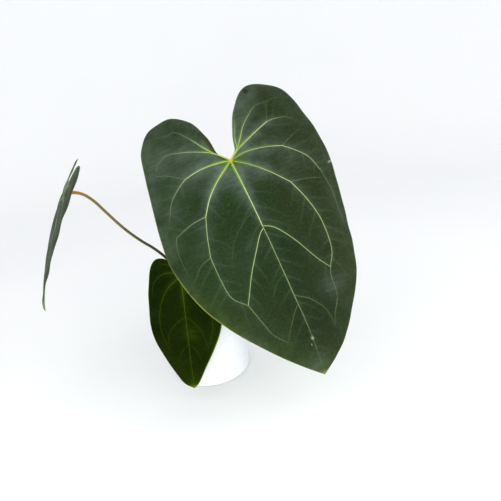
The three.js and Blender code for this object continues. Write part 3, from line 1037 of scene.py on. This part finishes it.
def blade_looks(leaf, grid, fields, fine):
    """The values that a blade's finish reads, for each corner of its rings.

    They are products of ramps and bells of the place on the leaf and of the distance to its margin.
    margin grows towards the margin, less so low down and on the right: it is painted sheen. The share of
    greyish painted sheen fades down the leaf, most of all on the left, and the share of satin, painted
    sheen there, grows low down and to the right. rim is a thin line at the margin, with a painted highlight
    over its lit stretch and at the tip. The big leaf's left lobe has painted shade along its inner edge,
    standing for a curled-back margin, and its right lobe has a strip of painted sheen there.
    """
    u, reach, face, down, across = grid
    length = leaf["length"]
    big = length == BIG_LENGTH
    share_down = down / length
    from_margin = margin_distance(leaf, down, across)
    low_down = ramp(share_down, 0.5, 0.4)
    high_up = ramp(down, 30, -60)
    right_side = ramp(across, 0, 60) * ramp(down, -90, 60)
    inner_left = bell(u - 0.055, 0.045, 4) * (reach < 0)
    inner_right = bell(u - 0.1, 0.07, 4) * (reach > 0) * big
    lit_side, lit_place, lit_spread = leaf["lit_rim"]
    lit = bell(u - lit_place, lit_spread, 4) * (reach * lit_side > 0)
    rim = bell(from_margin, 1.1) * (0.15 + 0.5 * lit) * (1 - inner_left)
    # Share of greyish painted sheen, fading down the leaf, most of all on the left
    grey = 0.9 - 0.9 * ramp(share_down, 0.17, 0.42) * (1 - 0.7 * ramp(across, 0, 80))
    # Satin share, painted sheen, growing low down and to the right
    ruddy = 0.2 + 0.6 * ramp(across, 0, 90) * (1 - 0.5 * high_up) + 0.6 * low_down + 0.1 * high_up
    # How strongly painted sheen pales the margin
    fade = leaf["edge"] * (1 - 0.45 * right_side) * (1 - 0.3 * low_down)
    marks = {kind: marked(leaf["marks"].get(kind, ()), down, across) for kind in MARK_KINDS}
    # Painted sheen along the right lobe's inner margin
    strip = 0.45 * inner_right * bell(from_margin, 6)
    return {
        **marks,
        "bloom_patch": np.maximum(marks["bloom_patch"], strip),
        "margin": fade * bell(from_margin, 24 * length / BIG_LENGTH),
        "grey": np.clip(grey, 0, 1),
        "ruddy": 0.8 * np.clip(ruddy, 0, 1),
        "upper": (face + 1) / 2,
        **{key: fields[key] for key in ("halo", "band", "groove", "gutter")},
        "ladder": veinlet_field(fine, down, across) * (1 - 0.45 * low_down),
        "rim": np.maximum(rim, 0.6 * bell(length - down, 5)),
        # Painted shade along the big leaf's left lobe inner edge, for a curled-back margin
        "rolled": bell(from_margin, 4 + 42 * u, 4) * inner_left * big,
    }


def blade(leaf, fine):
    """Blade of even thickness with a rounded margin.

    Its half thickness is half the full one times the root of 1 - reach^120, above and below the
    middle surface that blade_rise gives.
    """
    grid = blade_grid(leaf)
    _, reach, face, down, across = grid
    length = leaf["length"]
    fields = vein_fields(leaf, down, across)
    half = BLADE_THICKNESS / 2 * face * np.sqrt(np.clip(1 - np.abs(reach) ** 120, 0, 1))
    points, _ = on_blade(leaf, down, across, blade_rise(leaf, down, across, fields["puff"]) + half)
    zero = np.zeros(1)
    ends = []
    for at in (0.5, length - 0.5):
        rise = blade_rise(leaf, zero + at, zero, zero + 0.1)
        ends.append(on_blade(leaf, zero + at, zero, rise)[0])
    looks = blade_looks(leaf, grid, fields, fine)
    values = {key: ringed(np.broadcast_to(value, down.shape), 0.0, 0.0) for key, value in looks.items()}
    flat = np.stack([across, down], -1).reshape(-1, 2)
    values["leaf"] = np.vstack([[[0, 0]], flat, [[0, length]]])
    return *skin(points, *ends), values


def vein_ridges(leaf, veins, face):
    """Each vein as a closed ridge, half sunk in the blade's upper (1) or lower (-1) face.

    A ridge's half width and height grow with its prominence, and more so below, where it bulges.
    A faint end narrows to a point, and a strong one stays full where it meets a fork.
    """
    courses = [vein_course(vein, 1.6) for vein in veins]
    down, across = np.vstack([course for course, _ in courses]).T
    puff = vein_fields(leaf, down, across)["puff"]
    lift = blade_rise(leaf, down, across, puff) + face * BLADE_THICKNESS / 2
    places, ups = on_blade(leaf, down, across, lift)
    scale = scale_of(leaf) ** 0.6
    reach = np.hypot(down, across) / scale
    knots = bell(reach, 8)
    nearness = 0.8 * bell(reach, 56)
    turn = turns(10)
    parts, first = [], 0
    for course, strength in courses:
        own = slice(first, first + len(course))
        first += len(course)
        place, up = places[own], ups[own]
        side = unit(np.cross(up, np.gradient(place, axis=0))) * face
        run = np.linspace(0, 1, len(course))
        free = ramp(strength[-1], 0.3, -0.15)
        taper = (1 - free * (1 - np.clip((1 - run) / 0.12, 0.2, 1))) * scale
        if face > 0:
            width, height = (0.16 + 0.46 * strength) * taper, (0.06 + 0.28 * strength) * taper
        else:
            width, height = (0.45 + 1.5 * strength) * taper, (0.15 + 1.9 * strength**1.5) * taper
        sideways = side[:, None] * (width[:, None] * np.cos(turn))[..., None]
        rise = np.where(np.sin(turn) < 0, height[:, None], np.minimum(height, BLADE_THICKNESS / 2)[:, None])
        outwards = face * up[:, None] * (rise * np.sin(turn))[..., None]
        looks = {"strength": strength, "knot": knots[own], "near": nearness[own]}
        values = {
            key: ringed(np.repeat(value, len(turn)), value[0], value[-1]) for key, value in looks.items()
        }
        parts.append((*skin(place[:, None] + sideways - outwards, place[0], place[-1]), values))
    return joined(parts)


def petiole_path(leaf, count):
    """The petiole's course. Its last two points lead it up under the blade, a little below the notch."""
    down = np.array([0.015 * leaf["length"]])
    place, _, up = blade_frame(leaf, down)
    approach = place[0] - up[0] * 2.2 * leaf["petiole_radius"]
    end = place[0] - up[0] * 0.8
    return curve([*leaf["petiole"], approach, end], count, 0.5)


def petiole(leaf):
    """Ribbed stalk with a groove behind, a flared and clasping foot, and a swollen end under the blade.

    Its radius is the slender one times 1 + 0.55 exp(-u / 0.08) + 0.25 exp(-((u - 0.95) / 0.05)^2).
    """
    count, around, ribs, wrinkle_rate = 200, 36, 9, 900
    path = petiole_path(leaf, count)
    u = np.linspace(0, 1, count)[:, None]
    turn = turns(around)[None]
    radius = leaf["petiole_radius"] * (1 + 0.55 * np.exp(-u / 0.08) + 0.25 * bell(u - 0.95, 0.05))
    rib = 0.5 + 0.5 * np.cos(ribs * turn + 2.2 * u)
    groove = bell(np.angle(np.exp(1j * turn)), 0.45)
    smooth_end = ramp(u, 0.93, -0.04)
    shape = 1 + (0.05 * (rib - 0.5) - 0.14 * groove) * smooth_end
    wrinkles = 0.03 * np.sin(u * wrinkle_rate) * bell(u - 0.955, 0.022)
    rings = limb(path, radius * (shape + wrinkles) * rounded(count, 0.006), around)
    values = {
        "along": ringed(np.broadcast_to(u, (count, around)), 0.0, 1.0),
        "rib": ringed(rib * smooth_end, 0.0, 0.0),
    }
    return *skin(rings, path[0], path[-1]), values


# Stem, bud, sheaths and roots

def stem():
    """Short trunk: its radius is the stem's less a little, with bumps and a slanting ridge at each scar."""
    count, around = 90, 64
    path = np.zeros((count, 3))
    path[:, 2] = STEM_FOOT - 1.5 + (STEM_TOP - STEM_FOOT + 1.5) * np.linspace(0, 1, count)
    rings = limb(path, 1.0, around)
    slant = path[:, 2, None] - STEM_FOOT + 1.6 * np.sin(turns(around) + 0.8)[None]
    scar = sum(bell(slant - height, 0.8) for height in SCAR_HEIGHTS)
    bumps = 0.45 * ripple(rings * [9, 9, 1], 9, 5)
    radius = (STEM_RADIUS - 0.7) * rounded(count, 0.12) + 0.5 * scar + bumps
    rings = limb(path, np.clip(radius, 0.3, STEM_RADIUS - 0.1), around)
    scar = np.clip(scar, 0, 1) * 0.7
    return *skin(rings, path[0], path[-1]), {"scar": ringed(scar, 0.0, 0.0)}


def bud():
    """Rolled leaf that tapers to a point: its radius steps in along a spiral, where its edge lies."""
    count, around = 110, 40
    path = curve([(0, 0, STEM_TOP - 1.0), (1, 0, STEM_TOP + 14), (4, 1, STEM_TOP + 30)], count, 0.5)
    u = np.linspace(0, 1, count)[:, None]
    turn = np.linspace(0, 1, around, endpoint=False)[None]
    lap = np.mod(turn + 0.45 * u + 0.1, 1.0)
    radius = (4.2 * (1 - u**2) + 0.3) * (0.86 + 0.14 * lap) * (0.75 + 0.25 * np.minimum(1, u / 0.25))
    rings = limb(path, radius * rounded(count, 0.03), around)
    return *skin(rings, path[0], path[-1]), {"edge": ringed(bell(1 - lap, 0.09), 0.0, 1.0)}


def sheath(spec, seed):
    """Curved papery sheet round the stem, widest low down, with a torn and pointed top.

    Its half spread is SHEATH_SPREAD times the root of sin(pi u^0.6), frayed more towards the top, and
    it leans out by 3 u^2.
    """
    count, top = 120, 40
    u = np.linspace(0, 1, count + 2)[1:-1, None]
    reach = np.concatenate([np.linspace(1, -1, top), np.linspace(-1, 1, top)[1:-1]])[None]
    face = np.concatenate([np.ones(top), -np.ones(top - 2)])[None]
    half = SHEATH_THICKNESS / 2 * face * np.sqrt(np.clip(1 - np.abs(reach) ** 16, 0, 1))
    spread = SHEATH_SPREAD * np.sqrt(np.sin(math.pi * u**0.6))
    along = np.broadcast_to(u * spec["height"], (count, reach.shape[1]))
    side = np.broadcast_to(reach * 20, along.shape)
    torn = 1 + 0.16 * ripple(np.stack([along, np.sign(side) * 9], -1), 5, seed) * u * np.abs(reach) ** 3
    angle = np.radians(spec["angle"] - reach * spread * torn)
    crease = 0.35 * ripple(np.stack([side, along * 0.12], -1), 6, seed + 1)
    radius = SHEATH_RADIUS + 3 * u**2 + crease + half
    ragged = 1 + 0.03 * ripple(np.stack([side, 0 * side], -1), 7, seed + 2) * u**3
    height = STEM_FOOT + spec["height"] * u * ragged
    points = np.stack([radius * np.cos(angle), radius * np.sin(angle), height], -1)
    middle = math.radians(spec["angle"])
    out = np.array([math.cos(middle), math.sin(middle), 0])
    start, end = (out * (SHEATH_RADIUS + 3 * at) + UP * (STEM_FOOT + spec["height"] * at) for at in (0, 1))
    return *skin(points, start, end), {"along": ringed(np.broadcast_to(u, along.shape), 0.0, 1.0)}


def root(path, seed):
    """Felted root from the stem's side into the mix, of uneven thickness."""
    count, around = 90, 20
    course = curve([*path, np.array(path[-1]) + (2, -0.5, -5)], count, 0.5)
    rings = limb(course, ROOT_RADIUS, around)
    radius = ROOT_RADIUS * (1 + 0.1 * ripple(rings, 9, seed)) * rounded(count, 0.04)
    return *skin(limb(course, radius, around), course[0], course[-1]), {}


# Pot and mix

def arc(middle_x, middle_z, radius, start, end, count=9):
    """Points of a round stretch of a profile, by angle in degrees."""
    turn = np.radians(np.linspace(start, end, count))
    return np.stack([middle_x + radius * np.cos(turn), middle_z + radius * np.sin(turn)], -1)


def pot():
    """Straight pot with a rounded foot, a rolled rim and a thick floor, turned round +Z."""
    inner = POT_RADIUS - POT_WALL
    heights = np.linspace(FOOT_ROUND + 3, POT_HEIGHT - RIM_ROUND - 3, 14)
    profile = np.vstack([
        [(0, 0), (20, 0), (40, 0), (POT_RADIUS - FOOT_ROUND - 2, 0)],
        arc(POT_RADIUS - FOOT_ROUND, FOOT_ROUND, FOOT_ROUND, -90, 0),
        [(POT_RADIUS, z) for z in heights],
        arc(POT_RADIUS - RIM_ROUND, POT_HEIGHT - RIM_ROUND, RIM_ROUND, 0, 180, 13),
        [(inner, z) for z in heights[::-1]],
        arc(inner - FOOT_ROUND, POT_FLOOR + FOOT_ROUND, FOOT_ROUND, 0, -90),
        [(40, POT_FLOOR), (0, POT_FLOOR)],
    ])
    rings = turned_profile(profile, 160)
    radius = np.hypot(rings[..., 0], rings[..., 1])
    inside_wall = (radius < POT_RADIUS - RIM_ROUND) & (rings[..., 2] > POT_FLOOR - 1)
    return *skin(rings, (0, 0, 0), (0, 0, POT_FLOOR)), {"inside": ringed(inside_wall, 0.0, 1.0)}


def mix_height(x, y):
    """Height of the mix: a low dome with lumps."""
    places = np.stack([x, y], -1)
    dome = MIX_EDGE + MIX_RISE * (1 - (x**2 + y**2) / MIX_RADIUS**2)
    return dome - 1.2 + 1.1 * ripple(places, 24, 11) + 0.5 * ripple(places, 7, 12)


def mix():
    """The mix as a solid that fills the pot: flat below, and on top lifted to mix_height."""
    top = [(radius, MIX_EDGE) for radius in np.linspace(MIX_RADIUS, 1.2, 60)]
    profile = [(0, MIX_FOOT), (MIX_RADIUS, MIX_FOOT), (MIX_RADIUS, 60), *top, (0, MIX_EDGE)]
    rings = turned_profile(profile, 200)
    x, y, z = np.moveaxis(rings, -1, 0)
    lift = np.where(z > MIX_EDGE - 1, mix_height(x, y) - z, 0)
    crown = (0, 0, float(mix_height(np.zeros(1), np.zeros(1))[0]))
    return *skin(rings + lift[..., None] * UP, (0, 0, MIX_FOOT), crown), {}


def bits(count, sizes, flatness, seed, sunk):
    """Many small lumps on the mix, each a rough ball of a few dozen faces with its own shape and turn.

    The corners are those of a ball cut into rings, moved in and out at random for each lump.
    """
    draw = np.random.default_rng(seed)
    rings = [
        np.stack([r * np.cos(turns(6) + shift), r * np.sin(turns(6) + shift), np.full(6, z)], -1)
        for r, z, shift in ((0.75, -0.6, 0.0), (1.0, 0.0, 0.5), (0.7, 0.65, 0.0))
    ]
    shape, faces = skin(np.array(rings), (0, 0, -0.85), (0, 0, 0.85))
    radius = np.sqrt(draw.uniform(0, 1, count)) * (MIX_RADIUS - 4)
    angle = draw.uniform(0, 2 * math.pi, count)
    keep = radius > STEM_RADIUS + 4
    x, y = (radius * np.cos(angle))[keep], (radius * np.sin(angle))[keep]
    count = len(x)
    size = draw.uniform(*sizes, (count, 1, 1)) / 2
    stretches = ((0.8, 1.5), (0.55, 1.0), flatness)
    stretch = np.stack([draw.uniform(*between, count) for between in stretches], -1)
    lumps = shape[None] * draw.uniform(0.72, 1.18, (count, len(shape), 1)) * stretch[:, None] * size
    spin = draw.uniform(0, 2 * math.pi, count)
    tip, roll = draw.normal(0, 0.35, count), draw.normal(0, 0.35, count)
    height = mix_height(x, y) + size[:, 0, 0] * draw.uniform(*sunk, count)
    lumps = inside_pot(turned(lumps, spin, tip, roll) + np.stack([x, y, height], -1)[:, None])
    tone = np.repeat(draw.uniform(0, 1, count), len(shape))
    shifts = range(0, count * len(shape), len(shape))
    all_faces = [[corner + shift for corner in face] for shift in shifts for face in faces]
    return lumps.reshape(-1, 3), all_faces, {"tone": tone}


def turned(lumps, spin, tip, roll):
    """Each lump's points turned about Z, then tipped about X and rolled about Y."""
    points = lumps.copy()
    for angle, (first, second) in ((spin, (0, 1)), (tip, (1, 2)), (roll, (2, 0))):
        cosine, sine = np.cos(angle)[:, None], np.sin(angle)[:, None]
        a, b = points[..., first].copy(), points[..., second].copy()
        points[..., first] = cosine * a - sine * b
        points[..., second] = sine * a + cosine * b
    return points


def inside_pot(points):
    """Points drawn in where they would reach the pot's wall."""
    radius = np.hypot(points[..., 0], points[..., 1])
    draw_in = np.minimum(1, (MIX_RADIUS - 0.2) / np.maximum(radius, 1))
    return points * np.stack([draw_in, draw_in, np.ones_like(draw_in)], -1)


# Building the plant and its pot

def build_leaves():
    """Each leaf's blade, the veins on both its faces, with the fine ones only below, and its petiole."""
    stalk = petiole_finish()
    for name, leaf in LEAVES.items():
        node, look = f"{name}_blade", LOOKS[name]
        fine = veinlets(leaf, look["veinlets"], 50)
        piece(f"{name}_lamina", blade(leaf, fine), blade_finish(f"{name}_blade_skin", look), node)
        paints = [look[key] for key in ("faint", "dusty", "bright", "lime")]
        upper_skin = vein_finish(f"{name}_vein_skin", *paints, look["vein_specular"])
        lower_skin = vein_finish(f"{name}_under_vein_skin", *UNDER_VEIN_PAINTS, 0.2)
        all_veins = [*leaf["veins"], *fine]
        piece(f"{name}_upper_veins", vein_ridges(leaf, leaf["veins"], 1), upper_skin, node)
        piece(f"{name}_lower_veins", vein_ridges(leaf, all_veins, -1), lower_skin, node)
        piece(f"{name}_stalk", petiole(leaf), stalk, f"{name}_petiole")


def build_stem():
    """The stem with its bud, dry sheaths and aerial roots."""
    piece("trunk", stem(), stem_finish(), "stem")
    piece("rolled_leaf", bud(), bud_finish(), "growth_bud")
    paper, felt = sheath_finish(), root_finish()
    for i, spec in enumerate(SHEATHS, 1):
        piece(f"papery_sheath_{i}", sheath(spec, 20 + i), paper, f"sheath_{i}")
    for i, path in enumerate(ROOTS, 1):
        piece(f"felted_root_{i}", root(path, 30 + i), felt, f"root_{i}")


def build_pot():
    """The pot, the mix in it, and the loose bits on the mix."""
    piece("glazed_pot", pot(), glaze_finish(), "pot")
    piece("peat_bed", mix(), mix_finish(), "growing_mix")
    bark = bit_finish("bark_chip", "2f1d10", "7a5433", 3.0, 0.85)
    perlite = bit_finish("perlite_grain", "b9b5ab", "efede8", 1.0, 0.9)
    charcoal = bit_finish("charcoal_bit", "0b0b0c", "26262a", 1.5, 0.6)
    for name, lumps, look in (
        ("bark_chips", bits(420, (7, 17), (0.22, 0.45), 41, (0.0, 0.35)), bark),
        ("perlite_grains", bits(190, (2.5, 5), (0.7, 1.0), 42, (0.1, 0.9)), perlite),
        ("charcoal_bits", bits(90, (4, 8), (0.6, 0.9), 43, (0.1, 0.8)), charcoal),
    ):
        piece(name, lumps, look, "growing_mix", smooth=False)


# Stage, lights and camera

def plain_finish(name, colour, roughness):
    """Even, matt paint with the faintest mottle."""
    made = Finish(name, Specular_IOR_Level=0.1)
    mottle = made.noise(made.place(), 600, 2.0)
    colour = made.blend(made.span(mottle, 0.3, 0.7), colour, "f3f4f5")
    return made.done(colour, made.span(mottle, 0.2, 0.8, roughness, roughness + 0.05))


def build_sweep():
    """Pale floor that curves up into a round wall: flat, then a quarter circle, then straight."""
    floor, bend, wall, sunk, around = 1500, 900, 1300, 0.2, 96
    profile = [
        (0, 0),
        *[(radius, 0) for radius in np.linspace(60, floor - 60, 12)],
        *arc(floor, bend, bend, -90, 0, 24),
        (floor + bend, wall),
        (0, wall),
    ]
    rings = turned_profile(profile, around)[:, ::-1] - sunk * UP
    points, faces = skin(rings, (0, 0, -sunk), (0, 0, wall))
    sweep = meshed("floor_sweep", points[:-1], faces[:-around], plain_finish("floor_paint", "f1f2f4", 0.9))
    placed("floor_sweep", sweep)


def softbox(name, place, width, height, power):
    """Square lamp that faces the middle of the plant."""
    light = bpy.data.lights.new(name, "AREA")
    light.shape = "RECTANGLE"
    light.size, light.size_y = width * MM, height * MM
    light.energy = power
    lamp = placed(name, light)
    lamp.location = Vector(place) * MM
    target = Vector(PLANT_MIDDLE) * MM
    lamp.rotation_euler = (target - lamp.location).to_track_quat("-Z", "Y").to_euler()


def build_lights():
    """Even pale surroundings and four soft lamps. Colours are shown as they are, with no film curve."""
    world = bpy.data.worlds.new("studio")
    world.use_nodes = True
    world.node_tree.nodes["Background"].inputs["Color"].default_value = (0.99, 0.995, 1.0, 1.0)
    world.node_tree.nodes["Background"].inputs["Strength"].default_value = 0.935
    bpy.context.scene.world = world
    softbox("left_softbox", (-1200, -900, 1200), 1000, 1400, 4)
    softbox("right_softbox", (1300, -800, 1000), 1000, 1400, 7)
    softbox("front_softbox", (200, -1450, 450), 1800, 700, 11)
    softbox("low_softbox", (-60, -1000, 110), 900, 180, 3)
    bpy.context.scene.view_settings.view_transform = "Standard"


def build_camera():
    """Camera that looks towards +Y, pitched down and rolled, with the photograph's lens."""
    pitch, roll = math.radians(CAMERA_PITCH), math.radians(CAMERA_ROLL)
    forward = Vector((0, math.cos(pitch), -math.sin(pitch)))
    level_up = Vector((0, math.sin(pitch), math.cos(pitch)))
    level_right = Vector((1, 0, 0))
    right = level_right * math.cos(roll) - level_up * math.sin(roll)
    up = level_right * math.sin(roll) + level_up * math.cos(roll)
    lens = bpy.data.cameras.new("camera")
    lens.lens = CAMERA_LENS
    lens.sensor_width = SENSOR_WIDTH
    camera = placed("camera", lens)
    turn = Matrix((right, up, -forward)).transposed().to_4x4()
    camera.matrix_world = Matrix.Translation(Vector(CAMERA_PLACE) * MM) @ turn
    bpy.context.scene.camera = camera


build_camera()
build_sweep()
build_lights()
build_leaves()
build_stem()
build_pot()

bpy.context.view_layer.update()
